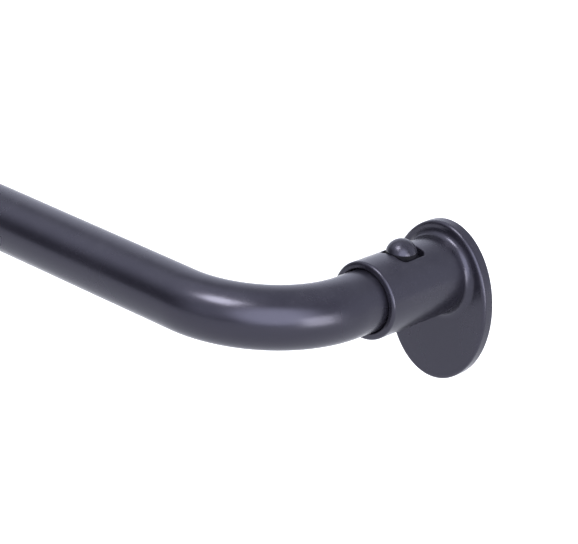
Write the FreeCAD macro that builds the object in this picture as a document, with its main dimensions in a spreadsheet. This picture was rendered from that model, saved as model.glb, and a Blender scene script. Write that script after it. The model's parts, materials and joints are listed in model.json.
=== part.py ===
import FreeCAD, Part

# Wrap-around curtain rod. Two steel tubes slide one inside the other, and their outer ends turn back
# to the wall. Each end stands in a cast wall bracket and is held there by a domed snap button.
#
# Millimetres. The wall is the plane Y = 0 with the room on its -Y side, +Z is up and the rod runs
# along X. The origin is on the wall, on the socket axis of the right-hand bracket.

import math
import os

import Sketcher

Vector = FreeCAD.Vector
Constraint = Sketcher.Constraint

SIZES = [
    # The rod
    ("tube_od", 19.6, "outside diameter of the outer tube"),
    ("tube_wall", 0.8, "wall of both tubes"),
    ("telescope_gap", 0.7, "radial gap between the two tubes"),
    ("closed_span", 720.0, "between the two socket axes, closed up"),
    ("projection", 80.7, "wall to the rod's centre line"),
    ("mouth_gap", 16.0, "left elbow to the outer tube's mouth, closed up"),
    ("glide_gap", 8.0, "right elbow to the glide, closed up"),
    ("end_gap", 2.2, "tube end to the socket floor"),
    ("deburr", 0.15, "broken edge on the cut tubes"),
    # The wall bracket
    ("socket_length", 38.9, "wall to the socket's mouth"),
    ("socket_wall", 2.3, "wall of the socket"),
    ("socket_gap", 0.2, "radial gap between the tube and the socket"),
    ("return_gap", 7.3, "socket's mouth to the start of the elbow"),
    ("floor_thick", 4.3, "socket floor, which the screws clamp"),
    ("plate_thick", 3.9, "oval wall plate"),
    ("plate_side", 7.1, "plate beyond the socket, each side"),
    ("plate_above", 4.4, "plate beyond the socket, at the top"),
    ("plate_below", 23.1, "plate beyond the socket, at the bottom"),
    ("plate_round", 1.1, "radius round the plate's front edge"),
    ("root_fillet", 2.4, "fillet between the socket and the plate"),
    ("mouth_round", 1.0, "radius round the socket's mouth"),
    ("bore_chamfer", 0.4, "chamfer at the mouth of the bore"),
    ("recess_depth", 1.5, "recess in the plate's back"),
    ("recess_rim", 2.6, "rim left round the recess"),
    ("rib_width", 2.0, "rib down the middle of the recess"),
    ("screw_hole", 4.5, "hole for a wall screw"),
    ("screw_head", 8.4, "countersink for its head"),
    ("screw_margin", 0.6, "countersink to the bore's wall"),
    # The window in the socket and the button that stands in it
    ("window_inset", 11.25, "socket's mouth to the window"),
    ("window_play", 1.6, "window longer than the button by this"),
    ("window_side_gap", 0.1, "button to the window's long edges"),
    ("window_round", 2.0, "radius in the window's corners"),
    ("window_soften", 0.3, "radius round the window's outer edge"),
    ("button_od", 9.6, "diameter of the button"),
    ("button_end_gap", 0.1, "button to the window's edge nearest the mouth"),
    ("button_hole_gap", 0.2, "radial gap round the button in the tube"),
    ("dome_height", 3.7, "height of the dome"),
    ("dome_stand", 0.1, "dome's foot above the top of the socket"),
    ("rivet_od", 3.0, "rivet under the button"),
    ("rivet_gap", 0.1, "gap round the rivet in the spring"),
    ("rivet_head_od", 5.0, "rivet's head"),
    ("rivet_head_thick", 0.8, "thickness of that head"),
    # The snap spring
    ("strip_width", 7.0, "width of the spring's strip"),
    ("strip_thick", 0.5, "thickness of the strip"),
    ("strip_gap", 0.1, "strip to the tube's inner wall"),
    ("tab_length", 6.5, "button's axis to the strip's free ends"),
    ("arm_start", 5.0, "button's axis to the turn into the arm"),
    ("arm_round", 6.0, "radius of that turn"),
    ("nose_radius", 2.0, "radius of the folded nose"),
    ("nose_gap", 0.4, "nose to the start of the elbow"),
    # The plastic liner, glide and end sleeve
    ("press_gap", 0.03, "radial gap where a plastic piece is pushed home"),
    ("slide_gap", 0.15, "radial gap where a plastic piece slides"),
    ("liner_length", 14.0, "liner, inside the outer tube's mouth"),
    ("liner_lip", 1.2, "lip over the tube's cut edge"),
    ("lip_round", 0.5, "radius round the lip"),
    ("glide_stem", 12.0, "glide's stem, inside the inner tube"),
    ("glide_head", 5.0, "glide's head, beyond the inner tube"),
    ("glide_bore", 9.0, "bore through the glide"),
    ("glide_chamfer", 0.8, "chamfer round the glide's head"),
    ("glide_slot", 1.6, "width of the slots in the stem"),
    ("glide_root", 2.5, "stem left solid next to the head"),
    ("sleeve_stop", 1.0, "stop ring over the inner tube's end"),
    ("sleeve_inset", 2.0, "sleeve's edge inside the socket's mouth"),
]

# Sizes that follow from the ones above.
BEND_RADIUS = "(Sizes.projection - Sizes.socket_length - Sizes.return_gap)"
TUBE_ID = "(Sizes.tube_od - 2 * Sizes.tube_wall)"
SLIM_OD = f"({TUBE_ID} - 2 * Sizes.telescope_gap)"
SLIM_ID = f"({SLIM_OD} - 2 * Sizes.tube_wall)"
TUBE_END = "(Sizes.floor_thick + Sizes.end_gap)"
SLIM_END = f"({TUBE_END} + Sizes.sleeve_stop)"
MOUTH_REACH = f"(Sizes.closed_span - {BEND_RADIUS} - Sizes.mouth_gap)"
GLIDE_REACH = f"({BEND_RADIUS} + Sizes.glide_gap + Sizes.glide_head)"
BORE_OD = "(Sizes.tube_od + 2 * Sizes.socket_gap)"
SOCKET_OD = f"({BORE_OD} + 2 * Sizes.socket_wall)"
PLATE_WIDTH = f"({SOCKET_OD} + 2 * Sizes.plate_side)"
PLATE_HEIGHT = f"({SOCKET_OD} + Sizes.plate_above + Sizes.plate_below)"
PLATE_DROP = "((Sizes.plate_below - Sizes.plate_above) / 2)"
SCREW_RISE = f"(({BORE_OD} - Sizes.screw_head) / 2 - Sizes.screw_margin)"
WINDOW_EDGE = "(Sizes.socket_length - Sizes.window_inset)"
BUTTON_REACH = f"({WINDOW_EDGE} - Sizes.button_end_gap - Sizes.button_od / 2)"
BUTTON_HOLE = "(Sizes.button_od + 2 * Sizes.button_hole_gap)"
DOME_FOOT = f"({SOCKET_OD} / 2 + Sizes.dome_stand)"
ELBOW_START = "(Sizes.socket_length + Sizes.return_gap)"
NOSE_REACH = f"({ELBOW_START} - {BUTTON_REACH} - Sizes.nose_gap - Sizes.nose_radius - Sizes.strip_thick)"

doc = FreeCAD.newDocument("curtain_rod")
sheet = doc.addObject("Spreadsheet::Sheet", "Sizes")
for row, (alias, size, meaning) in enumerate(SIZES, 1):
    sheet.set(f"A{row}", meaning)
    sheet.set(f"B{row}", str(size))
    sheet.setAlias(f"B{row}", alias)
doc.recompute()


def value(expression):
    """The number an expression on the sheet stands for."""
    return float(sheet.evalExpression(expression))


def leaf_height(bore):
    """Top of the spring's leaf above the tube's axis, where its edges near the bore's wall."""
    return f"(sqrt(({bore} / 2) ^ 2 - (Sizes.strip_width / 2) ^ 2) - Sizes.strip_gap)"


def new_body(label, x="0", y="0"):
    """An empty piece whose origin stands at x and y in the row frame."""
    body = doc.addObject("PartDesign::Body", label)
    body.Label = label
    body.setExpression("Placement.Base.x", x)
    body.setExpression("Placement.Base.y", y)
    return body


def origin_part(body, role):
    return next(part for part in body.Origin.OriginFeatures if part.Role == role)


def new_sketch(body, name, plane, offset="0"):
    """A sketch on one of the piece's origin planes, moved along the plane's normal by offset."""
    sketch = body.newObject("Sketcher::SketchObject", name)
    sketch.AttachmentSupport = [(origin_part(body, plane), "")]
    sketch.MapMode = "FlatFace"
    sketch.setExpression("AttachmentOffset.Base.z", offset)
    return sketch


def bind(sketch, kind, *where_and_size):
    """A dimension on the sketch, tied to an expression on the sheet."""
    *where, expression = where_and_size
    index = sketch.addConstraint(Constraint(kind, *where, value(expression)))
    sketch.setExpression(f"Constraints[{index}]", expression)


def place(sketch, edge, point, across, up):
    """Ties a point of an edge to its distances across and up from the sketch's origin."""
    for kind, axis, expression in (("DistanceX", -2, across), ("DistanceY", -1, up)):
        if expression == "0":
            sketch.addConstraint(Constraint("PointOnObject", edge, point, axis))
        else:
            bind(sketch, kind, -1, 1, edge, point, expression)


def draw_circle(sketch, diameter, up="0"):
    centre = Vector(0, value(up), 0)
    edge = sketch.addGeometry(Part.Circle(centre, Vector(0, 0, 1), value(diameter) / 2))
    place(sketch, edge, 3, "0", up)
    bind(sketch, "Diameter", edge, diameter)


def draw_ellipse(sketch, width, height, drop):
    """An upright ellipse with its centre below the sketch's origin by drop."""
    centre = Vector(0, -value(drop), 0)
    top = centre + Vector(0, value(height) / 2, 0)
    side = centre + Vector(value(width) / 2, 0, 0)
    edge = sketch.addGeometry(Part.Ellipse(top, side, centre))
    sketch.exposeInternalGeometry(edge)
    sketch.addConstraint(Constraint("Vertical", edge + 1))
    place(sketch, edge, 3, "0", f"-{drop}")
    bind(sketch, "Distance", edge + 1, height)
    bind(sketch, "Distance", edge + 2, width)


def draw_outline(sketch, corners):
    """A closed outline of straight edges between corners, each corner as (across, up)."""
    points = [Vector(value(across), value(up), 0) for across, up in corners]
    edges = []
    for start, end in zip(points, points[1:] + points[:1]):
        edges.append(sketch.addGeometry(Part.LineSegment(start, end)))
    for index, (across, up) in enumerate(corners):
        sketch.addConstraint(Constraint("Coincident", edges[index - 1], 2, edges[index], 1))
        place(sketch, edges[index], 1, across, up)
    return edges


def add_feature(body, kind, name, bound=None, **settings):
    """A feature on the piece. Entries in bound are expressions on the sheet."""
    feature = body.newObject(f"PartDesign::{kind}", name)
    for key, setting in settings.items():
        setattr(feature, key, setting)
    for key, expression in (bound or {}).items():
        feature.setExpression(key, expression)
    doc.recompute()
    return feature


def cut_feature(body, kind, name, bound=None, **settings):
    """A feature that must take material away."""
    before = body.Tip.Shape.Volume
    feature = add_feature(body, kind, name, bound, **settings)
    if feature.Shape.Volume > before - 0.001:
        raise RuntimeError(f"{body.Label}: {name} cuts nothing")
    return feature


def dress_edges(body, kind, name, size, chosen):
    """A fillet or chamfer on the edges of the piece that chosen picks."""
    edges = [f"Edge{index}" for index, edge in enumerate(body.Tip.Shape.Edges, 1) if chosen(edge)]
    if not edges:
        raise RuntimeError(f"{body.Label}: {name} finds no edge")
    key = "Radius" if kind == "Fillet" else "Size"
    return add_feature(body, kind, name, {key: size}, Base=(body.Tip, edges))


def circle_at(*rings):
    """Picks the round edges that match any ring, given as (radius, x, y) with its centre at z = 0."""

    def chosen(edge):
        if not isinstance(edge.Curve, Part.Circle):
            return False
        for radius, x, y in rings:
            at_centre = edge.Curve.Center.distanceToPoint(Vector(x, y, 0)) < 0.001
            if at_centre and abs(edge.Curve.Radius - radius) < 0.001:
                return True
        return False

    return chosen


def draw_centre_line(body, side, end, reach):
    """A tube's centre line: out from the wall at end, round the elbow, along the rod to reach.

    The rod runs towards -X from the right-hand return (side 1), towards +X from the left (side -1).
    """
    sketch = new_sketch(body, "CentreLine", "XY_Plane")
    radius = value(BEND_RADIUS)
    elbow = -value(ELBOW_START)
    depth = value("Sizes.projection")
    circle = Part.Circle(Vector(-side * radius, elbow, 0), Vector(0, 0, 1), radius)
    quarter = (-math.pi / 2, 0) if side > 0 else (-math.pi, -math.pi / 2)
    wall_side, rod_side = (2, 1) if side > 0 else (1, 2)
    arc = sketch.addGeometry(Part.ArcOfCircle(circle, *quarter))
    out = sketch.addGeometry(Part.LineSegment(Vector(0, -value(end), 0), Vector(0, elbow, 0)))
    turned = Vector(-side * radius, -depth, 0)
    far = Vector(-side * value(reach), -depth, 0)
    along = sketch.addGeometry(Part.LineSegment(turned, far))
    sketch.addConstraint(Constraint("Vertical", out))
    sketch.addConstraint(Constraint("Horizontal", along))
    sketch.addConstraint(Constraint("Tangent", out, 2, arc, wall_side))
    sketch.addConstraint(Constraint("Tangent", along, 1, arc, rod_side))
    bind(sketch, "Radius", arc, BEND_RADIUS)
    place(sketch, out, 1, "0", f"-{end}")
    place(sketch, along, 2, f"{-side} * {reach}", "-Sizes.projection")
    return sketch


def bent_tube(label, side, x, od, bore, end, reach):
    """A tube turned back to the wall, with the button's hole in the top of its return."""
    body = new_body(label, x)
    path = draw_centre_line(body, side, end, reach)
    section = new_sketch(body, "Section", "XZ_Plane", end)
    draw_circle(section, od)
    draw_circle(section, bore)
    add_feature(body, "AdditivePipe", "BentTube", Profile=section, Spine=(path, []))
    outer, inner = value(od) / 2, value(bore) / 2
    wall_end = (0, -value(end))
    rod_end = (-side * value(reach), -value("Sizes.projection"))
    rings = [(radius, *centre) for radius in (outer, inner) for centre in (wall_end, rod_end)]
    dress_edges(body, "Chamfer", "CutEdges", "Sizes.deburr", circle_at(*rings))
    drill_button_hole(body, od)


def drill_button_hole(body, od):
    """The round hole that the snap button stands in, through the top wall only."""
    hole = new_sketch(body, "ButtonHoleCircle", "XY_Plane")
    draw_circle(hole, BUTTON_HOLE, f"-{BUTTON_REACH}")
    cut_feature(body, "Pocket", "ButtonHole", {"Length": od}, Profile=hole, Reversed=True)


def wall_bracket(label, x):
    """One casting: an oval plate on the wall and a round socket standing on its upper part."""
    body = new_body(label, x)
    add_plate(body)
    add_socket(body)
    cut_recess(body)
    cut_bore(body)
    cut_window(body)
    drill_screw_holes(body)


def add_plate(body):
    front = -value("Sizes.plate_thick")

    def on_front(edge):
        return all(abs(vertex.Point.y - front) < 0.001 for vertex in edge.Vertexes)

    outline = new_sketch(body, "PlateOutline", "XZ_Plane")
    draw_ellipse(outline, PLATE_WIDTH, PLATE_HEIGHT, PLATE_DROP)
    add_feature(body, "Pad", "Plate", {"Length": "Sizes.plate_thick"}, Profile=outline)
    dress_edges(body, "Fillet", "PlateEdge", "Sizes.plate_round", on_front)


def add_socket(body):
    """The socket's outside, blended into the plate and rounded at the mouth."""
    radius = value(SOCKET_OD) / 2
    front = -value("Sizes.plate_thick")
    mouth = -value("Sizes.socket_length")
    outline = new_sketch(body, "SocketCircle", "XZ_Plane")
    draw_circle(outline, SOCKET_OD)
    add_feature(body, "Pad", "Socket", {"Length": "Sizes.socket_length"}, Profile=outline)
    dress_edges(body, "Fillet", "SocketRoot", "Sizes.root_fillet", circle_at((radius, 0, front)))
    dress_edges(body, "Fillet", "SocketMouth", "Sizes.mouth_round", circle_at((radius, 0, mouth)))


def cut_recess(body):
    """A shallow recess in the back of the plate, round the socket's foot and a middle rib."""
    depth = {"Length": "Sizes.recess_depth"}
    hollow = new_sketch(body, "RecessOutline", "XZ_Plane")
    width = f"{PLATE_WIDTH} - 2 * Sizes.recess_rim"
    height = f"{PLATE_HEIGHT} - 2 * Sizes.recess_rim"
    draw_ellipse(hollow, width, height, PLATE_DROP)
    cut_feature(body, "Pocket", "Recess", depth, Profile=hollow, Reversed=True)
    foot = new_sketch(body, "FootCircle", "XZ_Plane")
    draw_circle(foot, SOCKET_OD)
    add_feature(body, "Pad", "SocketFoot", depth, Profile=foot)
    rib = new_sketch(body, "RibOutline", "XZ_Plane")
    half = "Sizes.rib_width / 2"
    low = f"-({SOCKET_OD} / 2 + Sizes.plate_below - Sizes.recess_rim / 2)"
    draw_outline(rib, [(f"-{half}", low), (half, low), (half, "0"), (f"-{half}", "0")])
    add_feature(body, "Pad", "Rib", depth, Profile=rib)


def cut_bore(body):
    outline = new_sketch(body, "BoreCircle", "XZ_Plane", "Sizes.floor_thick")
    draw_circle(outline, BORE_OD)
    length = {"Length": "Sizes.socket_length"}
    cut_feature(body, "Pocket", "Bore", length, Profile=outline, Reversed=True)
    lip = circle_at((value(BORE_OD) / 2, 0, -value("Sizes.socket_length")))
    dress_edges(body, "Chamfer", "BoreLip", "Sizes.bore_chamfer", lip)


def cut_window(body):
    """The window in the top of the socket, with a small radius in each corner."""
    half = "(Sizes.button_od / 2 + Sizes.window_side_gap)"
    near = f"-{WINDOW_EDGE}"
    far = f"-({WINDOW_EDGE} - Sizes.button_od - Sizes.window_play)"

    def at_corner(edge):
        start, end = (vertex.Point for vertex in (edge.Vertexes[0], edge.Vertexes[-1]))
        upright = start.z > 0 and abs(start.z - end.z) > 0.5 and abs(start.y - end.y) < 0.001
        return upright and all(abs(abs(point.x) - value(half)) < 0.001 for point in (start, end))

    def on_rim(edge):
        inside = edge.BoundBox.YMin > value(near) - 0.01 and edge.BoundBox.YMax < value(far) + 0.01
        distances = [math.hypot(point.x, point.z) for point in edge.discretize(5)]
        outside = all(abs(distance - value(SOCKET_OD) / 2) < 0.01 for distance in distances)
        return inside and outside

    outline = new_sketch(body, "WindowOutline", "XY_Plane")
    draw_outline(outline, [(f"-{half}", near), (half, near), (half, far), (f"-{half}", far)])
    cut_feature(body, "Pocket", "Window", {"Length": SOCKET_OD}, Profile=outline, Reversed=True)
    dress_edges(body, "Fillet", "WindowCorners", "Sizes.window_round", at_corner)
    dress_edges(body, "Fillet", "WindowEdge", "Sizes.window_soften", on_rim)


def drill_screw_holes(body):
    """Two countersunk holes, one above the other, through the socket's floor."""
    centres = new_sketch(body, "ScrewCircles", "XZ_Plane", "Sizes.floor_thick")
    draw_circle(centres, "Sizes.screw_hole", SCREW_RISE)
    draw_circle(centres, "Sizes.screw_hole", f"-{SCREW_RISE}")
    doc.recompute()
    sizes = {"Diameter": "Sizes.screw_hole", "HoleCutDiameter": "Sizes.screw_head"}
    cut_feature(
        body,
        "Hole",
        "ScrewHoles",
        sizes,
        Profile=centres,
        ThreadType="None",
        DepthType="ThroughAll",
        HoleCutType="Countersink",
        HoleCutCustomValues=True,
        HoleCutCountersinkAngle=90,
    )


def snap_button(label, x, bore):
    """A domed button with a rivet under it that holds the spring's leaf. Origin on the tube's axis."""
    body = new_body(label, x, f"-{BUTTON_REACH}")
    leaf = leaf_height(bore)
    under = f"({leaf} - Sizes.strip_thick - Sizes.rivet_gap / 2)"
    bottom = f"({under} - Sizes.rivet_head_thick)"
    top = f"({DOME_FOOT} + Sizes.dome_height)"
    shape = new_sketch(body, "HalfOutline", "XZ_Plane")
    corners = [
        ("0", bottom),
        ("Sizes.rivet_head_od / 2", bottom),
        ("Sizes.rivet_head_od / 2", under),
        ("Sizes.rivet_od / 2", under),
        ("Sizes.rivet_od / 2", leaf),
        ("Sizes.button_od / 2", leaf),
        ("Sizes.button_od / 2", DOME_FOOT),
        ("0", top),
    ]
    edges = draw_outline(shape, corners)
    radius, height = value("Sizes.button_od") / 2, value("Sizes.dome_height")
    sphere = (radius**2 + height**2) / (2 * height)
    shape.delGeometry(edges[6])
    centre = Vector(0, value(top) - sphere, 0)
    slope = math.asin((sphere - height) / sphere)
    cap = Part.ArcOfCircle(Part.Circle(centre, Vector(0, 0, 1), sphere), slope, math.pi / 2)
    arc = shape.addGeometry(cap)
    shape.addConstraint(Constraint("Coincident", edges[5], 2, arc, 1))
    shape.addConstraint(Constraint("Coincident", arc, 2, edges[6], 1))
    shape.addConstraint(Constraint("PointOnObject", arc, 3, -2))
    add_feature(body, "Revolution", "Button", Profile=shape, ReferenceAxis=(shape, ["V_Axis"]), Angle=360)


def snap_spring(label, x, bore):
    """A flat strip folded into a V, its nose towards the elbow. Origin on the tube's axis."""
    body = new_body(label, x, f"-{BUTTON_REACH}")
    leaf = leaf_height(bore)
    middle = f"({leaf} - Sizes.strip_thick / 2)"
    path = draw_spring_line(body, middle)
    half = "Sizes.strip_width / 2"
    under = f"({leaf} - Sizes.strip_thick)"
    section = new_sketch(body, "StripSection", "XZ_Plane", "-Sizes.tab_length")
    draw_outline(section, [(f"-{half}", under), (half, under), (half, leaf), (f"-{half}", leaf)])
    add_feature(body, "AdditivePipe", "Strip", Profile=section, Spine=(path, []))
    hole = new_sketch(body, "RivetHoleCircle", "XY_Plane")
    draw_circle(hole, "Sizes.rivet_od + 2 * Sizes.rivet_gap")
    cut_feature(body, "Pocket", "RivetHole", {"Length": bore}, Profile=hole, Reversed=True)


def draw_spring_line(body, middle):
    """The middle of the strip, seen from the side: tab, turn, arm, folded nose and lower leg."""
    height = value(middle)
    tab, start = value("Sizes.tab_length"), value("Sizes.arm_start")
    turn, fold = value("Sizes.arm_round"), value("Sizes.nose_radius")
    nose = value(NOSE_REACH)
    arm_run = math.hypot(nose - start, height - turn)
    arm_slope = math.atan2(height - turn, nose - start) + math.asin((turn - fold) / arm_run)
    leg_run = math.hypot(nose + tab, height)
    leg_slope = math.atan2(height, nose + tab) - math.asin(fold / leg_run)
    side = Vector(0, 0, 1)
    turn_circle = Part.Circle(Vector(-start, height - turn, 0), side, turn)
    fold_circle = Part.Circle(Vector(-nose, 0, 0), side, fold)
    turn_arc = Part.ArcOfCircle(turn_circle, math.pi / 2, math.pi / 2 + arm_slope)
    fold_arc = Part.ArcOfCircle(fold_circle, math.pi / 2 + arm_slope, 3 * math.pi / 2 - leg_slope)
    strip = [
        Part.LineSegment(Vector(tab, height, 0), Vector(-start, height, 0)),
        turn_arc,
        Part.LineSegment(turn_arc.EndPoint, fold_arc.StartPoint),
        fold_arc,
        Part.LineSegment(fold_arc.EndPoint, Vector(tab, -height, 0)),
    ]
    sketch = new_sketch(body, "StripLine", "YZ_Plane")
    edges = [sketch.addGeometry(edge) for edge in strip]
    sketch.addConstraint(Constraint("Horizontal", edges[0]))
    for before, after in zip(edges, edges[1:]):
        sketch.addConstraint(Constraint("Tangent", before, 2, after, 1))
    place(sketch, edges[0], 1, "Sizes.tab_length", middle)
    bind(sketch, "DistanceX", edges[0], 2, -1, 1, "Sizes.arm_start")
    bind(sketch, "Radius", edges[1], "Sizes.arm_round")
    bind(sketch, "Radius", edges[3], "Sizes.nose_radius")
    place(sketch, edges[3], 3, f"-{NOSE_REACH}", "0")
    place(sketch, edges[4], 2, "Sizes.tab_length", f"-{middle}")
    return sketch


def mouth_liner():
    """Plastic bush in the outer tube's mouth that the inner tube slides in. Origin at the mouth."""
    body = new_body("outer_mouth_liner", f"-{MOUTH_REACH}", "-Sizes.projection")
    bore = f"({SLIM_OD} / 2 + Sizes.slide_gap)"
    skin = f"({TUBE_ID} / 2 - Sizes.press_gap)"
    rim = "Sizes.tube_od / 2"
    lip = "-Sizes.liner_lip"
    shape = new_sketch(body, "HalfOutline", "XY_Plane")
    corners = [
        (lip, bore),
        ("Sizes.liner_length", bore),
        ("Sizes.liner_length", skin),
        ("0", skin),
        ("0", rim),
        (lip, rim),
    ]
    draw_outline(shape, corners)
    add_feature(body, "Revolution", "Bush", Profile=shape, ReferenceAxis=(shape, ["H_Axis"]), Angle=360)
    edge = circle_at((value(rim), value(lip), 0))
    dress_edges(body, "Fillet", "LipEdge", "Sizes.lip_round", edge)


def inner_glide():
    """Plastic plug that steadies the inner tube's hidden end. Origin at that end of the tube."""
    body = new_body("inner_tube_glide", f"-{GLIDE_REACH}", "-Sizes.projection")
    bore = "Sizes.glide_bore / 2"
    stem = f"({SLIM_ID} / 2 - Sizes.press_gap)"
    head = f"({TUBE_ID} / 2 - Sizes.slide_gap)"
    shape = new_sketch(body, "HalfOutline", "XY_Plane")
    corners = [
        ("-Sizes.glide_stem", bore),
        ("Sizes.glide_head", bore),
        ("Sizes.glide_head", head),
        ("0", head),
        ("0", stem),
        ("-Sizes.glide_stem", stem),
    ]
    draw_outline(shape, corners)
    add_feature(body, "Revolution", "Plug", Profile=shape, ReferenceAxis=(shape, ["H_Axis"]), Angle=360)
    edge = circle_at((value(head), value("Sizes.glide_head"), 0))
    dress_edges(body, "Chamfer", "HeadEdge", "Sizes.glide_chamfer", edge)
    cut_stem_slots(body)


def cut_stem_slots(body):
    """Two slots through the stem, at right angles, so that it springs into the tube."""
    outline = new_sketch(body, "SlotOutline", "XY_Plane")
    half = "Sizes.glide_slot / 2"
    near, far = "-Sizes.glide_root", "-(Sizes.glide_stem + Sizes.glide_root)"
    draw_outline(outline, [(far, f"-{half}"), (near, f"-{half}"), (near, half), (far, half)])
    length = {"Length": "Sizes.tube_od"}
    slot = cut_feature(body, "Pocket", "Slot", length, Profile=outline, Midplane=True)
    axis = (origin_part(body, "X_Axis"), [""])
    slots = add_feature(body, "PolarPattern", "Slots", Originals=[slot], Axis=axis, Occurrences=2, Angle=90)
    body.Tip = slots
    doc.recompute()


def end_sleeve(x):
    """Plastic sleeve that makes the slim tube's end fit the same socket. Origin on the wall."""
    body = new_body("inner_end_sleeve", x)
    bore = f"({SLIM_OD} / 2 + Sizes.press_gap)"
    stop = f"{SLIM_ID} / 2"
    rim = "Sizes.tube_od / 2"
    end, tube = f"-{TUBE_END}", f"-{SLIM_END}"
    edge = "-(Sizes.socket_length - Sizes.sleeve_inset)"
    shape = new_sketch(body, "HalfOutline", "XY_Plane")
    corners = [(stop, end), (rim, end), (rim, edge), (bore, edge), (bore, tube), (stop, tube)]
    draw_outline(shape, corners)
    add_feature(body, "Revolution", "Sleeve", Profile=shape, ReferenceAxis=(shape, ["V_Axis"]), Angle=360)
    drill_button_hole(body, "Sizes.tube_od")


def check_everything():
    """Stops the build if a feature has failed or a piece is not one sound solid."""
    for item in doc.Objects:
        if "Invalid" in item.State or "Error" in item.State:
            raise RuntimeError(f"{item.Name}: {item.State}")
        if item.isDerivedFrom("Sketcher::SketchObject") and not item.FullyConstrained:
            raise RuntimeError(f"{item.Name} is not fully constrained")
    for body in doc.findObjects("PartDesign::Body"):
        shape = body.Shape
        if shape.isNull() or not shape.isValid() or len(shape.Solids) != 1:
            raise RuntimeError(f"{body.Label} is not one sound solid")


def main():
    left = "-Sizes.closed_span"
    bent_tube("outer_tube", 1, "0", "Sizes.tube_od", TUBE_ID, TUBE_END, MOUTH_REACH)
    slim_reach = f"(Sizes.closed_span - {GLIDE_REACH})"
    bent_tube("inner_tube", -1, left, SLIM_OD, SLIM_ID, SLIM_END, slim_reach)
    for hand, x, bore in (("right", "0", TUBE_ID), ("left", left, SLIM_ID)):
        wall_bracket(f"{hand}_bracket", x)
        snap_button(f"{hand}_snap_button", x, bore)
        snap_spring(f"{hand}_snap_spring", x, bore)
    mouth_liner()
    inner_glide()
    end_sleeve(left)
    doc.recompute()
    check_everything()
    os.makedirs("parts", exist_ok=True)
    for body in doc.findObjects("PartDesign::Body"):
        body.Shape.exportStep(f"parts/{body.Label}.step")


main()
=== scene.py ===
import json
import math

import bmesh
import bpy
import numpy as np
from bpy.props import FloatProperty, FloatVectorProperty, IntProperty, PointerProperty
from mathutils import Matrix, Vector

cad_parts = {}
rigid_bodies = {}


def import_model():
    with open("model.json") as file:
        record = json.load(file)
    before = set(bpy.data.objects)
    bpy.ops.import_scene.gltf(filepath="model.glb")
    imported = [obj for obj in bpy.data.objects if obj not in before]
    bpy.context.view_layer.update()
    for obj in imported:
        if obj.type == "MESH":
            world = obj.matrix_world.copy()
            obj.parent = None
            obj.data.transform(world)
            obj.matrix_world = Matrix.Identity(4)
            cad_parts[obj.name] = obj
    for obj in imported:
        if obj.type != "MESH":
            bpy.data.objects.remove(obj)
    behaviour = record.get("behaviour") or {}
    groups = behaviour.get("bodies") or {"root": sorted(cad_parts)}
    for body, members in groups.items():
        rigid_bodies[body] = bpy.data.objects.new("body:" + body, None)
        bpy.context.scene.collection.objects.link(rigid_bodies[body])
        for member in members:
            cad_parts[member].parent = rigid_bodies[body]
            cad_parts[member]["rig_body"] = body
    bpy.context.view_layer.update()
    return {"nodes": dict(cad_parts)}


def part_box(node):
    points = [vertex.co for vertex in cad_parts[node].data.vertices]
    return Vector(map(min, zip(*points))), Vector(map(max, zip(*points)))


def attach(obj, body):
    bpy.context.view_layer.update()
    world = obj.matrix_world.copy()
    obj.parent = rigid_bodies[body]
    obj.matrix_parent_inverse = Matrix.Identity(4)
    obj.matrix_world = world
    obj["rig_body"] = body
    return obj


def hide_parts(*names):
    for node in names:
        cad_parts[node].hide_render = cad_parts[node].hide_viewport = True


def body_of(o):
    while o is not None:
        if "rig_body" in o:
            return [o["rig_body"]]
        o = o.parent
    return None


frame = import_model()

bl_info = {
    "name": "Wrap-Around Curtain Rod",
    "version": (1, 0, 0),
    "blender": (4, 5, 0),
    "location": "View3D > Sidebar > Curtain Rod",
    "description": "Builds the finished tubes, buttons and brackets of a wrap-around curtain rod",
    "category": "Object",
}

MM = 0.001
PATCH_CELLS = 16  # faces each way across the square patch round a button hole
HOLE_RINGS = 7  # points from that square in to the hole's rim
END_STATIONS = 4  # rings from a tube's wall end to the patch
ELBOW_LEAD = 8  # rings from the patch to the elbow
RUN_STATIONS = 40  # rings along the rod's straight run
DOME_RINGS = 40  # rings up a button's dome
FOOT_RINGS = 5  # rings up the small round at the dome's foot
FLOOR_HALF = 9.0  # half the floor's width
FLOOR_POINTS = 9  # points along each side of the floor
FLOOR_BACK = (-0.669, 0.743, 0.0)  # the level direction in which the floor runs back behind the rod
SOFTBOX_DISTANCE = 4.0
SOFTBOX_TINT = (0.95, 0.96, 1.0)
ROOM_TINT = (0.82, 0.85, 1.0)


class TubeSettings(bpy.types.PropertyGroup):
    """Sizes of the two bent tubes that the frame's boxes don't give."""

    wall: FloatProperty(
        name="Wall", description="Thickness of the tube's wall", default=0.8 * MM, unit="LENGTH"
    )
    bend_radius: FloatProperty(
        name="Bend Radius", description="Elbow, to the centre line", default=34.5 * MM, unit="LENGTH"
    )
    hole_radius: FloatProperty(
        name="Button Hole Radius", description="Hole for the button", default=5.0 * MM, unit="LENGTH"
    )
    patch: FloatProperty(
        name="Hole Patch", description="Half the square round the hole", default=6.4 * MM, unit="LENGTH"
    )
    edge: FloatProperty(
        name="Cut Edge", description="Broken edge on the tube's ends", default=0.15 * MM, unit="LENGTH"
    )
    around: IntProperty(name="Around", description="Faces round the tube", default=112, min=24)
    elbow: IntProperty(name="Elbow", description="Faces along the elbow", default=96, min=12)


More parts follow.
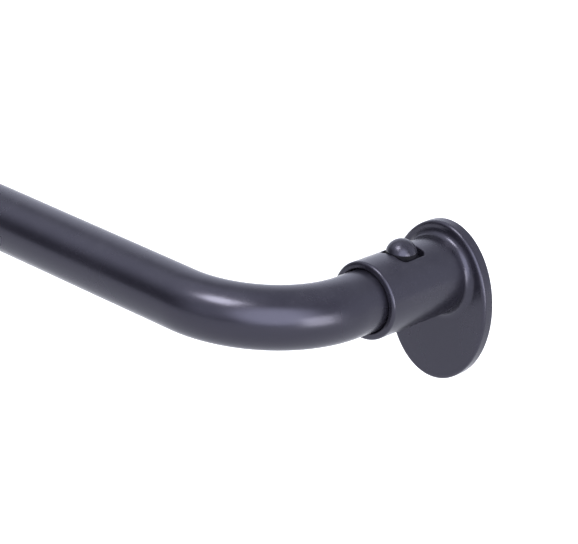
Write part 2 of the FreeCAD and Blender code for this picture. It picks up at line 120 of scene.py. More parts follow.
class ButtonSettings(bpy.types.PropertyGroup):
    """Sizes of the domed snap button below its dome, and the dome's own height."""

    dome: FloatProperty(name="Dome", description="Height of the dome", default=3.7 * MM, unit="LENGTH")
    foot: FloatProperty(
        name="Foot Round", description="Radius where the dome meets the side", default=0.2 * MM, unit="LENGTH"
    )
    rivet: FloatProperty(name="Rivet Radius", description="Rivet", default=1.5 * MM, unit="LENGTH")
    head: FloatProperty(name="Head Radius", description="Rivet's head", default=2.5 * MM, unit="LENGTH")
    head_thick: FloatProperty(
        name="Head Thickness", description="Rivet's head", default=0.8 * MM, unit="LENGTH"
    )
    leaf: FloatProperty(
        name="Leaf Thickness", description="Spring held by the rivet", default=0.55 * MM, unit="LENGTH"
    )
    around: IntProperty(name="Around", description="Faces round the button", default=96, min=24)


class FinishSettings(bpy.types.PropertyGroup):
    """Colours and roughness of the coat, the spring steel and the plastic."""

    coat: FloatVectorProperty(
        name="Coat", description="Charcoal coat", default=(0.0098, 0.0090, 0.0128), subtype="COLOR"
    )
    # Lighter coat for specks and edges; on edges it is partly wear and partly a painted highlight.
    coat_light: FloatVectorProperty(
        name="Coat, Light",
        description="Coat where it is rubbed",
        default=(0.040, 0.038, 0.048),
        subtype="COLOR",
    )
    coat_tint: FloatVectorProperty(
        name="Coat Gloss Tint", description="Tint of the gloss", default=(0.86, 0.83, 1.0), subtype="COLOR"
    )
    coat_roughness: FloatProperty(
        name="Coat Roughness", description="Satin gloss of the coat", default=0.26, min=0, max=1
    )
    coat_ior: FloatProperty(name="Coat IOR", description="Refraction of the coat", default=1.68, min=1, max=3)
    # A low IOR that dulls the button's side, part of its painted shade.
    shaded_side_ior: FloatProperty(
        name="Shaded Side IOR", description="Refraction of the blackened side", default=1.25, min=1, max=3
    )
    dust: FloatVectorProperty(
        name="Dust", description="Settled dust", default=(0.30, 0.29, 0.30), subtype="COLOR"
    )
    steel: FloatVectorProperty(
        name="Steel", description="Spring steel", default=(0.46, 0.47, 0.50), subtype="COLOR"
    )
    plastic: FloatVectorProperty(
        name="Plastic", description="Moulded plastic", default=(0.018, 0.018, 0.020), subtype="COLOR"
    )


class StudioSettings(bpy.types.PropertyGroup):
    """Camera, lights and floor."""

    azimuth: FloatProperty(
        name="Azimuth",
        description="Camera, round from the front",
        default=math.radians(41.50),
        subtype="ANGLE",
    )
    elevation: FloatProperty(
        name="Elevation", description="Camera, above level", default=math.radians(22.98), subtype="ANGLE"
    )
    roll: FloatProperty(name="Roll", description="Camera tilt", default=math.radians(4.12), subtype="ANGLE")
    distance: FloatProperty(name="Distance", description="Camera to its aim", default=0.84054, unit="LENGTH")
    aim_right: FloatProperty(
        name="Aim Right", description="Aim, to the camera's right", default=-0.02874, unit="LENGTH"
    )
    aim_up: FloatProperty(
        name="Aim Up", description="Aim, to the camera's top", default=0.00456, unit="LENGTH"
    )
    aim_out: FloatProperty(
        name="Aim Out", description="Aim, out from the wall", default=0.02992, unit="LENGTH"
    )
    lens: FloatProperty(name="Lens", description="Focal length in millimetres", default=173.1)
    floor_drop: FloatProperty(
        name="Floor Drop", description="Floor below the rod", default=0.62, unit="LENGTH"
    )
    side_light: FloatProperty(
        name="Side Light", description="Power of the side light", default=60.0, unit="POWER"
    )
    top_light: FloatProperty(
        name="Top Light", description="Power of the top light", default=76.0, unit="POWER"
    )
    room: FloatProperty(name="Room", description="Brightness of the room", default=0.45, min=0)
    backdrop: FloatProperty(
        name="Backdrop", description="Brightness of the paper behind the rod", default=1.3, min=0
    )


# ---------------------------------------------------------------- shader helpers


def group(name, inputs, outputs):
    """A node group with float or vector inputs, given as (name, kind, default), and its two ends."""
    tree = bpy.data.node_groups.new(name, "ShaderNodeTree")
    for label, kind, default in inputs:
        socket = tree.interface.new_socket(label, in_out="INPUT", socket_type=f"NodeSocket{kind}")
        if default is not None:
            socket.default_value = default
    for label, kind in outputs:
        tree.interface.new_socket(label, in_out="OUTPUT", socket_type=f"NodeSocket{kind}")
    return tree, tree.nodes.new("NodeGroupInput"), tree.nodes.new("NodeGroupOutput")


def math_node(tree, operation, first, second=None):
    """A maths node whose inputs are sockets or plain numbers. Returns its output."""
    node = tree.nodes.new("ShaderNodeMath")
    node.operation = operation
    for index, value in enumerate((first, second)):
        if isinstance(value, bpy.types.NodeSocket):
            tree.links.new(value, node.inputs[index])
        elif value is not None:
            node.inputs[index].default_value = value
    return node.outputs[0]


def remap(tree, value, low, high, new_low=0.0, new_high=1.0, smooth=True):
    """The value moved from low..high to new_low..new_high, with soft ends."""
    node = tree.nodes.new("ShaderNodeMapRange")
    node.interpolation_type = "SMOOTHSTEP" if smooth else "LINEAR"
    tree.links.new(value, node.inputs["Value"])
    for label, number in zip(("From Min", "From Max", "To Min", "To Max"), (low, high, new_low, new_high)):
        node.inputs[label].default_value = number
    return node.outputs[0]


def noise(tree, vector, scale, detail=2.0, roughness=0.55):
    """A noise texture's value. The scale is a socket or a number."""
    node = tree.nodes.new("ShaderNodeTexNoise")
    tree.links.new(vector, node.inputs["Vector"])
    if isinstance(scale, bpy.types.NodeSocket):
        tree.links.new(scale, node.inputs["Scale"])
    else:
        node.inputs["Scale"].default_value = scale
    node.inputs["Detail"].default_value = detail
    node.inputs["Roughness"].default_value = roughness
    return node.outputs["Fac"]


def mix_colour(tree, factor, first, second):
    """A colour mixed from first to second, each a socket or a plain colour."""
    node = tree.nodes.new("ShaderNodeMix")
    node.data_type = "RGBA"
    tree.links.new(factor, node.inputs["Factor"])
    for label, colour in (("A", first), ("B", second)):
        socket = next(s for s in node.inputs if s.name == label and s.type == "RGBA")
        if isinstance(colour, bpy.types.NodeSocket):
            tree.links.new(colour, socket)
        else:
            socket.default_value = (*colour, 1.0)
    return next(s for s in node.outputs if s.type == "RGBA")


def fine_grain_group():
    """The skin of a sprayed or moulded surface: fine pebbles, a slow ripple and faint cloudy patches."""
    inputs = [("Vector", "Vector", None), ("Grain Size", "Float", 0.0004), ("Patch Size", "Float", 0.02)]
    outputs = [("Height", "Float"), ("Patches", "Float"), ("Specks", "Float")]
    tree, start, end = group("Fine Grain", inputs, outputs)
    vector = start.outputs["Vector"]
    grain = math_node(tree, "DIVIDE", 1.0, start.outputs["Grain Size"])
    patch = math_node(tree, "DIVIDE", 1.0, start.outputs["Patch Size"])
    pebbles = noise(tree, vector, grain, 2.0, 0.6)
    ripple = noise(tree, vector, math_node(tree, "MULTIPLY", grain, 0.14), 1.0, 0.4)
    slow = math_node(tree, "MULTIPLY", ripple, 1.6)
    tree.links.new(math_node(tree, "ADD", pebbles, slow), end.inputs["Height"])
    clouds = noise(tree, vector, patch, 3.0, 0.6)
    tree.links.new(remap(tree, clouds, 0.32, 0.68), end.inputs["Patches"])
    specks = noise(tree, vector, math_node(tree, "MULTIPLY", grain, 0.6), 0.0, 0.5)
    tree.links.new(remap(tree, specks, 0.68, 0.78), end.inputs["Specks"])
    return tree


def rounded_edges_group():
    """Edges, patchy along their length: the angle between the surface and the same surface rounded.

    Also gives the rounded surface's normal.
    """
    inputs = [("Radius", "Float", 0.0004), ("Patches", "Float", 0.5)]
    tree, start, end = group("Rounded Edges", inputs, [("Mask", "Float"), ("Normal", "Vector")])
    rounded = tree.nodes.new("ShaderNodeBevel")
    rounded.samples = 4
    tree.links.new(start.outputs["Radius"], rounded.inputs["Radius"])
    surface = tree.nodes.new("ShaderNodeNewGeometry")
    dot = tree.nodes.new("ShaderNodeVectorMath")
    dot.operation = "DOT_PRODUCT"
    tree.links.new(rounded.outputs["Normal"], dot.inputs[0])
    tree.links.new(surface.outputs["Normal"], dot.inputs[1])
    bent = math_node(tree, "SUBTRACT", 1.0, dot.outputs["Value"])
    edges = remap(tree, bent, 0.01, 0.22)
    broken = remap(tree, start.outputs["Patches"], 0.2, 0.9, 0.35, 1.0)
    tree.links.new(math_node(tree, "MULTIPLY", edges, broken), end.inputs["Mask"])
    tree.links.new(rounded.outputs["Normal"], end.inputs["Normal"])
    return tree


def settled_dust_group():
    """Dust on what faces up, in uneven drifts."""
    inputs = [("Vector", "Vector", None), ("Drift Size", "Float", 0.006)]
    tree, start, end = group("Settled Dust", inputs, [("Mask", "Float")])
    surface = tree.nodes.new("ShaderNodeNewGeometry")
    split = tree.nodes.new("ShaderNodeSeparateXYZ")
    tree.links.new(surface.outputs["Normal"], split.inputs[0])
    upward = remap(tree, split.outputs["Z"], 0.35, 1.0)
    drift = math_node(tree, "DIVIDE", 1.0, start.outputs["Drift Size"])
    uneven = noise(tree, start.outputs["Vector"], drift, 4.0, 0.65)
    tree.links.new(math_node(tree, "MULTIPLY", upward, remap(tree, uneven, 0.35, 0.75)), end.inputs["Mask"])
    return tree


def shared(name, make):
    """The node group of that name, made once."""
    return bpy.data.node_groups.get(name) or make()


def place_group(tree, name, make, **inputs):
    """A node that holds a shared group, with its inputs set by number or linked."""
    node = tree.nodes.new("ShaderNodeGroup")
    node.node_tree = shared(name, make)
    for label, value in inputs.items():
        socket = node.inputs[label.replace("_", " ")]
        if isinstance(value, bpy.types.NodeSocket):
            tree.links.new(value, socket)
        else:
            socket.default_value = value
    return node


def new_material(name):
    """A material with one Principled shader, and its Object coordinates."""
    material = bpy.data.materials.new(name)
    material.use_nodes = True
    tree = material.node_tree
    shader = tree.nodes["Principled BSDF"]
    place = tree.nodes.new("ShaderNodeTexCoord").outputs["Object"]
    return material, tree, shader, place


def link_bump(tree, shader, height, distance, strength, base=None):
    """Fine relief in the shader's normal, on top of a base normal if there is one."""
    bump = tree.nodes.new("ShaderNodeBump")
    if base is not None:
        tree.links.new(base, bump.inputs["Normal"])
    bump.inputs["Distance"].default_value = distance
    bump.inputs["Strength"].default_value = strength
    tree.links.new(height, bump.inputs["Height"])
    tree.links.new(bump.outputs["Normal"], shader.inputs["Normal"])


def satin_coat(name, grain_size, relief, patch_size):
    """Charcoal satin coat: fine relief, cloudy gloss, edges a little lighter as wear and as a painted
    highlight in place of glints on rounded edges, a trace of dust.
    """
    finish = bpy.context.scene.rod_finish
    material, tree, shader, place = new_material(name)
    grain = place_group(
        tree, "Fine Grain", fine_grain_group, Vector=place, Grain_Size=grain_size, Patch_Size=patch_size
    )
    edge_group = place_group(tree, "Rounded Edges", rounded_edges_group, Radius=0.0004, Patches=grain.outputs["Patches"])
    dust = place_group(tree, "Settled Dust", settled_dust_group, Vector=place, Drift_Size=0.005)
    light = tuple(finish.coat_light)
    shade = tuple(0.86 * channel for channel in finish.coat)
    body = mix_colour(tree, grain.outputs["Patches"], shade, tuple(finish.coat))
    flecked = mix_colour(tree, math_node(tree, "MULTIPLY", grain.outputs["Specks"], 0.25), body, light)
    # Edges lightened toward the lighter coat: partly wear, partly a painted highlight in place of the glints
    # on rounded edges.
    edge_lightened = mix_colour(tree, math_node(tree, "MULTIPLY", edge_group.outputs["Mask"], 0.5), flecked, light)
    dusty = mix_colour(
        tree, math_node(tree, "MULTIPLY", dust.outputs["Mask"], 0.02), edge_lightened, tuple(finish.dust)
    )
    tree.links.new(dusty, shader.inputs["Base Color"])
    gloss = remap(
        tree,
        grain.outputs["Patches"],
        0.0,
        1.0,
        finish.coat_roughness - 0.02,
        finish.coat_roughness + 0.03,
    )
    dulled = math_node(tree, "ADD", gloss, math_node(tree, "MULTIPLY", dust.outputs["Mask"], 0.03))
    tree.links.new(dulled, shader.inputs["Roughness"])
    shader.inputs["IOR"].default_value = finish.coat_ior
    shader.inputs["Specular Tint"].default_value = (*finish.coat_tint, 1.0)
    link_bump(tree, shader, grain.outputs["Height"], 0.00002, relief, edge_group.outputs["Normal"])
    return material


def spring_steel(name):
    """Rolled strip steel: streaks along its length, uneven gloss and a trace of oil-dark patches."""
    finish = bpy.context.scene.rod_finish
    material, tree, shader, place = new_material(name)
    stretch = tree.nodes.new("ShaderNodeMapping")
    stretch.inputs["Scale"].default_value = (9000.0, 260.0, 900.0)
    tree.links.new(place, stretch.inputs["Vector"])
    streaks = noise(tree, stretch.outputs["Vector"], 1.0, 3.0, 0.6)
    grain = place_group(
        tree, "Fine Grain", fine_grain_group, Vector=place, Grain_Size=0.0003, Patch_Size=0.004
    )
    dark = tuple(0.6 * channel for channel in finish.steel)
    body = mix_colour(tree, grain.outputs["Patches"], dark, tuple(finish.steel))
    tree.links.new(body, shader.inputs["Base Color"])
    shader.inputs["Metallic"].default_value = 1.0
    tree.links.new(remap(tree, streaks, 0.2, 0.8, 0.24, 0.46), shader.inputs["Roughness"])
    link_bump(tree, shader, streaks, 0.00001, 0.5)
    return material


def moulded_plastic(name, grain_size):
    """Black moulded plastic: spark-eroded grain, a little lighter along worn edges, some dust."""
    finish = bpy.context.scene.rod_finish
    material, tree, shader, place = new_material(name)
    grain = place_group(
        tree, "Fine Grain", fine_grain_group, Vector=place, Grain_Size=grain_size, Patch_Size=0.008
    )
    edge_group = place_group(tree, "Rounded Edges", rounded_edges_group, Radius=0.0003, Patches=grain.outputs["Patches"])
    dust = place_group(tree, "Settled Dust", settled_dust_group, Vector=place, Drift_Size=0.003)
    worn = tuple(3.0 * channel for channel in finish.plastic)
    edge_lightened = math_node(tree, "MULTIPLY", edge_group.outputs["Mask"], 0.6)
    body = mix_colour(tree, edge_lightened, tuple(finish.plastic), worn)
    dusted = math_node(tree, "MULTIPLY", dust.outputs["Mask"], 0.05)
    dusty = mix_colour(tree, dusted, body, tuple(finish.dust))
    tree.links.new(dusty, shader.inputs["Base Color"])
    tree.links.new(remap(tree, grain.outputs["Patches"], 0.0, 1.0, 0.46, 0.58), shader.inputs["Roughness"])
    link_bump(tree, shader, grain.outputs["Height"], 0.00003, 0.6, edge_group.outputs["Normal"])
    return material


def painted_shade_side(name):
    """The button's side and rivet, below its coated dome: painted shade, a darker and duller coat with uneven
    grain, put where the window's shade falls under the dome's rim.
    """
    finish = bpy.context.scene.rod_finish
    material, tree, shader, place = new_material(name)
    grain = place_group(
        tree, "Fine Grain", fine_grain_group, Vector=place, Grain_Size=0.0002, Patch_Size=0.002
    )
    # Darker colour and low reflection: painted shade under the dome's rim.
    dark = tuple(0.3 * channel for channel in finish.coat)
    body = mix_colour(tree, grain.outputs["Patches"], dark, tuple(finish.coat))
    tree.links.new(body, shader.inputs["Base Color"])
    tree.links.new(remap(tree, grain.outputs["Patches"], 0.0, 1.0, 0.5, 0.7), shader.inputs["Roughness"])
    shader.inputs["IOR"].default_value = finish.shaded_side_ior
    link_bump(tree, shader, grain.outputs["Height"], 0.00002, 0.6)
    return material


def paint_node(name, material):
    """Gives a CAD node a material in every slot it has."""
    for holder in frame["nodes"][name].material_slots:
        holder.material = material


# ---------------------------------------------------------------- surfaces


def grid_faces(rows, columns, closed, keep=None):
    """Quads between neighbouring points of a rows by columns grid, closed round its columns or not."""
    row = np.arange(rows - 1)[:, None]
    column = np.arange(columns if closed else columns - 1)[None, :]
    beside = (column + 1) % columns
    corners = [row * columns + column, row * columns + beside]
    corners += [(row + 1) * columns + beside, (row + 1) * columns + column]
    faces = np.stack(np.broadcast_arrays(*corners), axis=-1)
    return faces[keep] if keep is not None else faces.reshape(-1, 4)


def join_sheets(sheets):
    """One point array and one face array from several (points, faces) sheets."""
    points, faces, start = [], [], 0
    for sheet_points, sheet_faces in sheets:
        flat = sheet_points.reshape(-1, 3)
        points.append(flat)
        faces.append(sheet_faces + start)
        start += len(flat)
    return np.concatenate(points), np.concatenate(faces)


def make_piece(name, sheets, sharp=35.0, merge=2e-7):
    """A closed mesh object from sheets that share their borders, shaded smooth below the sharp angle."""
    points, faces = join_sheets(sheets)
    mesh = bpy.data.meshes.new(name)
    mesh.from_pydata(points.tolist(), [], faces.tolist())
    work = bmesh.new()
    work.from_mesh(mesh)
    bmesh.ops.remove_doubles(work, verts=work.verts, dist=merge)
    bmesh.ops.dissolve_degenerate(work, edges=work.edges, dist=merge)
    bmesh.ops.recalc_face_normals(work, faces=work.faces)
    if any(not edge.is_manifold for edge in work.edges):
        raise RuntimeError(f"{name} is not closed")
    work.to_mesh(mesh)
    work.free()
    mesh.polygons.foreach_set("use_smooth", np.ones(len(mesh.polygons), bool))
    mesh.set_sharp_from_angle(angle=math.radians(sharp))
    piece = bpy.data.objects.new(name, mesh)
    bpy.context.scene.collection.objects.link(piece)
    return piece


def ring_angles(radius, patch, cells, around):
    """Angles round the tube: even steps in plan across the patch on top, then even steps of angle."""
    plan = np.linspace(patch, -patch, cells + 1)
    top = np.arccos(plan / radius)
    rest = np.linspace(top[-1], top[0] + 2 * math.pi, around + 1)[1:-1]
    return np.concatenate([top, rest])


def centre_line(side, start, elbow, bend, stations):
    """Points on the tube's centre line and the level direction out of its bend.

    stations is distance along the line from the wall end: straight out, a quarter turn, straight on.
    """
    straight = elbow - start
    turn = bend * math.pi / 2
    angle = np.clip((stations - straight) / bend, 0.0, math.pi / 2)
    before = np.minimum(stations, straight)
    after = np.maximum(stations - straight - turn, 0.0)
    x = -side * (bend * (1 - np.cos(angle)) + after)
    y = -(start + before + bend * np.sin(angle))
    centre = np.stack([x, y, np.zeros_like(x)], axis=1)
    out = np.stack([side * np.cos(angle), -np.sin(angle), np.zeros_like(x)], axis=1)
    return centre, out


def tube_wall(line, stations, radii, button, patch, around, rows):
    """One wall of a tube and the ring of faces round its button hole.

    Wall: centre + radius * (cos t * out + sin t * up), for each station and angle t, with the square
    patch on top left open. Ring: plan points that go from that square's sides to the hole's circle,
    raised to the tube's height sqrt(r^2 - x^2). Returns the sheets and the hole's rim.
    """
    centre, out = line(stations)
    radius, hole = radii.max(), button[2]
    angles = ring_angles(radius, patch, PATCH_CELLS, around)
    up = np.array([0.0, 0.0, 1.0])
    section = np.cos(angles)[None, :, None] * out[:, None, :] + np.sin(angles)[None, :, None] * up
    points = centre[:, None, :] + radii[:, None, None] * section
    keep = np.ones((len(stations) - 1, len(angles)), bool)
    keep[rows[0] : rows[1], :PATCH_CELLS] = False
    sheets = [(points, grid_faces(len(stations), len(angles), True, keep))]
    low, high = points[rows[0]], points[rows[1]]
    edge = [low[: PATCH_CELLS + 1], points[rows[0] : rows[1] + 1, PATCH_CELLS][1:]]
    edge += [high[: PATCH_CELLS + 1][::-1][1:], points[rows[0] : rows[1] + 1, 0][::-1][1:-1]]
    square = np.concatenate(edge)
    plan = square[:, :2] - np.array(button[:2])
    toward = plan / np.linalg.norm(plan, axis=1, keepdims=True) * hole
    steps = np.linspace(0.0, 1.0, HOLE_RINGS)[:, None, None]
    ring = (1 - steps) * plan[None] + steps * toward[None]
    height = np.sqrt(radius**2 - ring[..., 0] ** 2)
    ring_points = np.concatenate([ring + np.array(button[:2]), height[..., None]], axis=2)
    sheets.append((ring_points, grid_faces(HOLE_RINGS, len(square), True)))
    return sheets, ring_points[-1]


def bent_tube(name, node, side, button_node):
    """A bent tube with inner and outer walls, broken edges and a clean hole for its button."""
    sizes = bpy.context.scene.rod_tubes
    low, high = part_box(node)
    bore_low, bore_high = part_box(button_node)
    button_x = (bore_low.x + bore_high.x) / 2
    button_y = (bore_low.y + bore_high.y) / 2
    outer = (high.z - low.z) / 2
    start, depth = -high.y, -low.y - outer
    elbow = depth - sizes.bend_radius
    reach = (button_x - low.x) if side > 0 else (high.x - button_x)
    straight = elbow - start
    total = straight + sizes.bend_radius * math.pi / 2 + reach - sizes.bend_radius

    def line(stations):
        centre, out = centre_line(side, start, elbow, sizes.bend_radius, stations)
        centre[:, 0] += button_x
        return centre, out

    hole_at = -button_y - start
    across = hole_at + np.linspace(-sizes.patch, sizes.patch, PATCH_CELLS + 1)
    before = np.linspace(sizes.edge, across[0], END_STATIONS)[:-1]
    to_elbow = np.linspace(across[-1], straight, ELBOW_LEAD)[1:]
    turn = straight + np.linspace(0, sizes.bend_radius * math.pi / 2, sizes.elbow + 1)[1:]
    along = np.linspace(turn[-1], total - sizes.edge, RUN_STATIONS)[1:]
    middle = np.concatenate([before, across, to_elbow, turn, along])
    stations = np.concatenate([[0.0], middle, [total]])
    rows = (1 + len(before), 1 + len(before) + PATCH_CELLS)
    button = (button_x, button_y, sizes.hole_radius)
    ends = []
    sheets = []
    for radius, lean in ((outer, -1), (outer - sizes.wall, 1)):
        radii = np.full(len(stations), radius)
        end_radius = radius + lean * sizes.edge
        wall, rim = tube_wall(line, stations, radii, button, sizes.patch, sizes.around, rows)
        wall_points = wall[0][0]
        for index in (0, -1):
            centre = line(stations[[index]])[0][0]
            wall_points[index] = centre + (wall_points[index] - centre) * (end_radius / radius)
        sheets += wall
        ends.append((rim, wall_points[0], wall_points[-1]))
    for outside, inside in zip(*ends):
        sheets.append((np.stack([outside, inside]), grid_faces(2, len(outside), True)))
    piece = make_piece(name, sheets)
    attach(piece, body_of(frame["nodes"][node])[0])
    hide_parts(node)
    return piece


def revolved(profile, centre, around):
    """The profile's (radius, height) points turned once round the upright line through centre."""
    turn = np.linspace(0, 2 * math.pi, around, endpoint=False)
    radius, height = profile[:, 0][:, None], profile[:, 1][:, None]
    x = centre[0] + radius * np.cos(turn)
    y = centre[1] + radius * np.sin(turn)
    z = np.broadcast_to(height, x.shape)
    return np.stack([x, y, z], axis=2), grid_faces(len(profile), around, True)


def dome_profile(radius, foot_height, dome, foot):
    """From the button's side up over its dome: a small foot round, then an arc that meets the axis.

    The arc's own radius is (r^2 + h^2) / 2h for a dome of height h on a circle of radius r.
    """
    sphere = (radius**2 + dome**2) / (2 * dome)
    base = math.asin(min(1.0, radius / sphere)) if dome <= radius else math.pi / 2
    sweep = np.linspace(base, 0.0, DOME_RINGS)
    arc = np.stack([sphere * np.sin(sweep), foot_height + dome - sphere * (1 - np.cos(sweep))], axis=1)
    arc[-1, 0] = 0.0
    lead = np.linspace(0.0, 1.0, FOOT_RINGS)[:-1, None]
    below = np.array([[radius, foot_height - foot]])
    return np.concatenate([below + lead * (arc[0] - below), arc])


def snap_button(name, node):
    """A domed button, its side and the rivet under it, as one turned shape.

    Also gives the height of its dome's foot.
    """
    sizes = bpy.context.scene.rod_buttons
    low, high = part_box(node)
    radius = (high.x - low.x) / 2
    centre = ((low.x + high.x) / 2, (low.y + high.y) / 2)
    rivet_top = low.z + sizes.head_thick
    leaf = rivet_top + sizes.leaf
    below = np.array(
        [
            (0.0, low.z),
            (sizes.head, low.z),
            (sizes.head, rivet_top),
            (sizes.rivet, rivet_top),
            (sizes.rivet, leaf),
            (radius, leaf),
        ]
    )
    cap = dome_profile(radius, high.z - sizes.dome, sizes.dome, sizes.foot)
    piece = make_piece(name, [revolved(np.concatenate([below, cap]), centre, sizes.around)])
    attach(piece, body_of(frame["nodes"][node])[0])
    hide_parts(node)
    return piece, high.z - sizes.dome


# ---------------------------------------------------------------- operators


class ROD_OT_tubes(bpy.types.Operator):
    """Build the outer and inner tubes with their elbows, ends and button holes"""

    bl_idname = "curtain_rod.tubes"
    bl_label = "Tubes"

    def execute(self, context):
        coat = satin_coat("Satin coat on tube", 0.00035, 0.35, 0.05)
        pieces = [
            bent_tube("outer_tube_skin", "outer_tube", 1, "right_snap_button"),
            bent_tube("inner_tube_skin", "inner_tube", -1, "left_snap_button"),
        ]
        for piece in pieces:
            piece.data.materials.append(coat)
        return {"FINISHED"}


class ROD_OT_buttons(bpy.types.Operator):
    """Build the two domed snap buttons"""

    bl_idname = "curtain_rod.buttons"
    bl_label = "Snap Buttons"

    def execute(self, context):
        coat = satin_coat("Satin coat on button", 0.00028, 0.9, 0.003)
        side = painted_shade_side("Painted shade on button's side")
        for hand in ("right", "left"):
            piece, foot = snap_button(f"{hand}_button_dome", f"{hand}_snap_button")
            piece.data.materials.append(coat)
            piece.data.materials.append(side)
            # Faces below the dome's foot take the second material, the painted shade.
            for face in piece.data.polygons:
                face.material_index = int(face.center.z < foot)
        return {"FINISHED"}


class ROD_OT_brackets(bpy.types.Operator):
    """Finish the two wall brackets"""

    bl_idname = "curtain_rod.brackets"
    bl_label = "Wall Brackets"

    def execute(self, context):
        coat = satin_coat("Satin coat on casting", 0.0004, 0.45, 0.02)
        for hand in ("right", "left"):
            paint_node(f"{hand}_bracket", coat)
        return {"FINISHED"}


class ROD_OT_springs(bpy.types.Operator):
    """Finish the two snap springs"""

    bl_idname = "curtain_rod.springs"
    bl_label = "Snap Springs"

    def execute(self, context):
        steel = spring_steel("Rolled spring steel")
        for hand in ("right", "left"):
            paint_node(f"{hand}_snap_spring", steel)
        return {"FINISHED"}


class ROD_OT_plastics(bpy.types.Operator):
    """Finish the liner, the glide and the end sleeve"""

    bl_idname = "curtain_rod.plastics"
    bl_label = "Plastic Parts"

    def execute(self, context):
        plastic = moulded_plastic("Moulded black plastic", 0.0003)
        for name in ("outer_mouth_liner", "inner_tube_glide", "inner_end_sleeve"):
            paint_node(name, plastic)
        return {"FINISHED"}


# ---------------------------------------------------------------- studio


def floor_material():
    """Pale paper with a faint tooth, glowing where it runs back behind the rod: painted light, as no lamp is
    there.
    """
    material, tree, shader, place = new_material("Pale paper floor")
    tooth = noise(tree, place, 900.0, 3.0, 0.6)
    clouds = noise(tree, place, 1.5, 2.0, 0.5)
    pale, paler = (0.67, 0.67, 0.65), (0.71, 0.71, 0.69)
    tree.links.new(mix_colour(tree, remap(tree, clouds, 0.3, 0.7), pale, paler), shader.inputs["Base Color"])
    tree.links.new(remap(tree, tooth, 0.2, 0.8, 0.82, 0.92), shader.inputs["Roughness"])
    link_bump(tree, shader, tooth, 0.0001, 0.2)
    # Painted light: emission rising along FLOOR_BACK so the paper behind the rod reads white.
    along = tree.nodes.new("ShaderNodeVectorMath")
    along.operation = "DOT_PRODUCT"
    tree.links.new(place, along.inputs[0])
    along.inputs[1].default_value = FLOOR_BACK
    glow = remap(tree, along.outputs["Value"], 0.3, 0.95, 0.0, 0.85)
    shader.inputs["Emission Color"].default_value = (1.0, 1.0, 1.0, 1.0)
    tree.links.new(glow, shader.inputs["Emission Strength"])
    return material


def add_floor(height, half_size):
    """A level square of points, its middle under the camera's view."""
    side = np.linspace(-half_size, half_size, FLOOR_POINTS)
    x, y = np.meshgrid(side, side)
    points = np.stack([x, y, np.full_like(x, height)], axis=2)
    faces = grid_faces(FLOOR_POINTS, FLOOR_POINTS, False)
    mesh = bpy.data.meshes.new("studio_floor")
    mesh.from_pydata(points.reshape(-1, 3).tolist(), [], faces.tolist())
    floor = bpy.data.objects.new("studio_floor", mesh)
    floor.data.materials.append(floor_material())
    bpy.context.scene.collection.objects.link(floor)


def add_soft_light(name, azimuth, elevation, size, power, aim):
    """A rectangular light in that direction from aim, turned to face it. Azimuth 0 is the room side."""
    light = bpy.data.lights.new(name, "AREA")
    light.shape = "RECTANGLE"
    light.size, light.size_y = size
    light.energy = power
    light.color = SOFTBOX_TINT
    away = towards(azimuth, elevation)
    facing = away.to_track_quat("Z", "Y").to_matrix().to_4x4()
    holder = bpy.data.objects.new(name, light)
    holder.matrix_world = Matrix.Translation(aim + away * SOFTBOX_DISTANCE) @ facing
    bpy.context.scene.collection.objects.link(holder)


def towards(azimuth, elevation):
    """The unit direction at that azimuth, in degrees round from the room side, and elevation."""
    azimuth, elevation = math.radians(azimuth), math.radians(elevation)
    level = math.cos(elevation)
    return Vector((math.sin(azimuth) * level, -math.cos(azimuth) * level, math.sin(elevation)))


def add_room(room, backdrop):
    """Soft light from all round: an even room with soft patches lighter and darker than it.

    Each patch is a direction (azimuth, elevation), the angles between which it fades out, and its brightness.
    """
    world = bpy.data.worlds.new("Studio room")
    bpy.context.scene.world = world
    world.use_nodes = True
    tree = world.node_tree
    lit = tree.nodes["Background"]
    place = tree.nodes.new("ShaderNodeTexCoord").outputs["Generated"]

    def near(direction, inner, outer):
        dot = tree.nodes.new("ShaderNodeVectorMath")
        dot.operation = "DOT_PRODUCT"
        tree.links.new(place, dot.inputs[0])
        dot.inputs[1].default_value = direction
        cosines = [math.cos(math.radians(angle)) for angle in (outer, inner)]
        return remap(tree, dot.outputs["Value"], *cosines)

    patches = (
        ("paper", -130.0, 4.0, 22.0, 50.0, backdrop - room),
        ("ceiling", -50.0, 55.0, 12.0, 40.0, 1.8 * room),
        ("corner", -41.0, 16.0, 8.0, 32.0, -0.8 * room),
        ("front", 0.0, 22.0, 8.0, 30.0, 1.3 * room),
        ("door", 54.0, 26.0, 16.0, 40.0, 7.5 * room),
        ("far wall", 135.0, 12.0, 10.0, 44.0, 1.1 * room),
        ("skylight", 180.0, 72.0, 15.0, 45.0, 0.8 * room),
    )
    level = room
    for label, azimuth, elevation, inner, outer, gain in patches:
        patch = math_node(tree, "MULTIPLY", near(towards(azimuth, elevation), inner, outer), gain)
        patch.node.label = label
        level = math_node(tree, "ADD", patch, level)
    tree.links.new(level, lit.inputs["Strength"])
    lit.inputs["Color"].default_value = (*ROOM_TINT, 1.0)


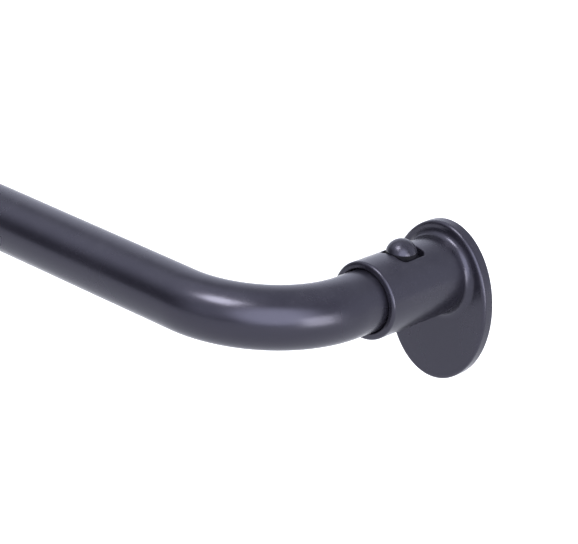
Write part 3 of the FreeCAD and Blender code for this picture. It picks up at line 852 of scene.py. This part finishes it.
def add_camera(studio):
    """A camera on the line back from its aim, tilted by its roll."""
    azimuth, elevation, roll = studio.azimuth, studio.elevation, studio.roll
    back = Vector(
        (
            math.sin(azimuth) * math.cos(elevation),
            -math.cos(azimuth) * math.cos(elevation),
            math.sin(elevation),
        )
    )
    right = Vector((math.cos(azimuth), math.sin(azimuth), 0.0))
    up = back.cross(right)
    aim = Vector((0.0, -studio.aim_out, 0.0)) + right * studio.aim_right + up * studio.aim_up
    turned_right = right * math.cos(roll) + up * math.sin(roll)
    turned_up = up * math.cos(roll) - right * math.sin(roll)
    lens = bpy.data.cameras.new("studio_camera")
    lens.sensor_width = 36.0
    lens.lens = studio.lens
    lens.clip_start, lens.clip_end = 0.01, 100.0
    camera = bpy.data.objects.new("studio_camera", lens)
    turn = Matrix((turned_right, turned_up, back)).transposed().to_4x4()
    camera.matrix_world = Matrix.Translation(aim + back * studio.distance) @ turn
    bpy.context.scene.collection.objects.link(camera)
    bpy.context.scene.camera = camera


class ROD_OT_studio(bpy.types.Operator):
    """Set up the floor, the soft lights, the room and the camera"""

    bl_idname = "curtain_rod.studio"
    bl_label = "Studio"

    def execute(self, context):
        studio = context.scene.rod_studio
        aim = Vector((0.0, -studio.aim_out, 0.0))
        add_floor(-studio.floor_drop, FLOOR_HALF)
        add_soft_light("side_softbox", 88.0, 4.0, (1.8, 1.9), studio.side_light, aim)
        add_soft_light("top_softbox", -8.0, 59.0, (1.55, 1.35), studio.top_light, aim)
        add_room(studio.room, studio.backdrop)
        add_camera(studio)
        context.scene.view_settings.view_transform = "Standard"
        return {"FINISHED"}


class ROD_PT_panel(bpy.types.Panel):
    """The rod's pieces and their sizes, in the 3D view's sidebar"""

    bl_label = "Curtain Rod"
    bl_space_type = "VIEW_3D"
    bl_region_type = "UI"
    bl_category = "Curtain Rod"

    def draw(self, context):
        for operator in OPERATORS:
            self.layout.operator(operator.bl_idname)
        for name, _ in SETTINGS:
            box = self.layout.box()
            settings = getattr(context.scene, name)
            for key in settings.__annotations__:
                box.prop(settings, key)


SETTINGS = (
    ("rod_tubes", TubeSettings),
    ("rod_buttons", ButtonSettings),
    ("rod_finish", FinishSettings),
    ("rod_studio", StudioSettings),
)
OPERATORS = (ROD_OT_tubes, ROD_OT_buttons, ROD_OT_brackets, ROD_OT_springs, ROD_OT_plastics, ROD_OT_studio)


def register():
    """Add the settings, the operators and the panel"""
    for name, settings in SETTINGS:
        bpy.utils.register_class(settings)
        setattr(bpy.types.Scene, name, PointerProperty(type=settings))
    for item in (*OPERATORS, ROD_PT_panel):
        bpy.utils.register_class(item)


def unregister():
    """Take them away again, last first"""
    for item in (ROD_PT_panel, *reversed(OPERATORS)):
        bpy.utils.unregister_class(item)
    for name, settings in reversed(SETTINGS):
        delattr(bpy.types.Scene, name)
        bpy.utils.unregister_class(settings)


def main():
    """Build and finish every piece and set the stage"""
    register()
    bpy.ops.curtain_rod.tubes()
    bpy.ops.curtain_rod.buttons()
    bpy.ops.curtain_rod.brackets()
    bpy.ops.curtain_rod.springs()
    bpy.ops.curtain_rod.plastics()
    bpy.ops.curtain_rod.studio()


if __name__ == "__main__":
    main()
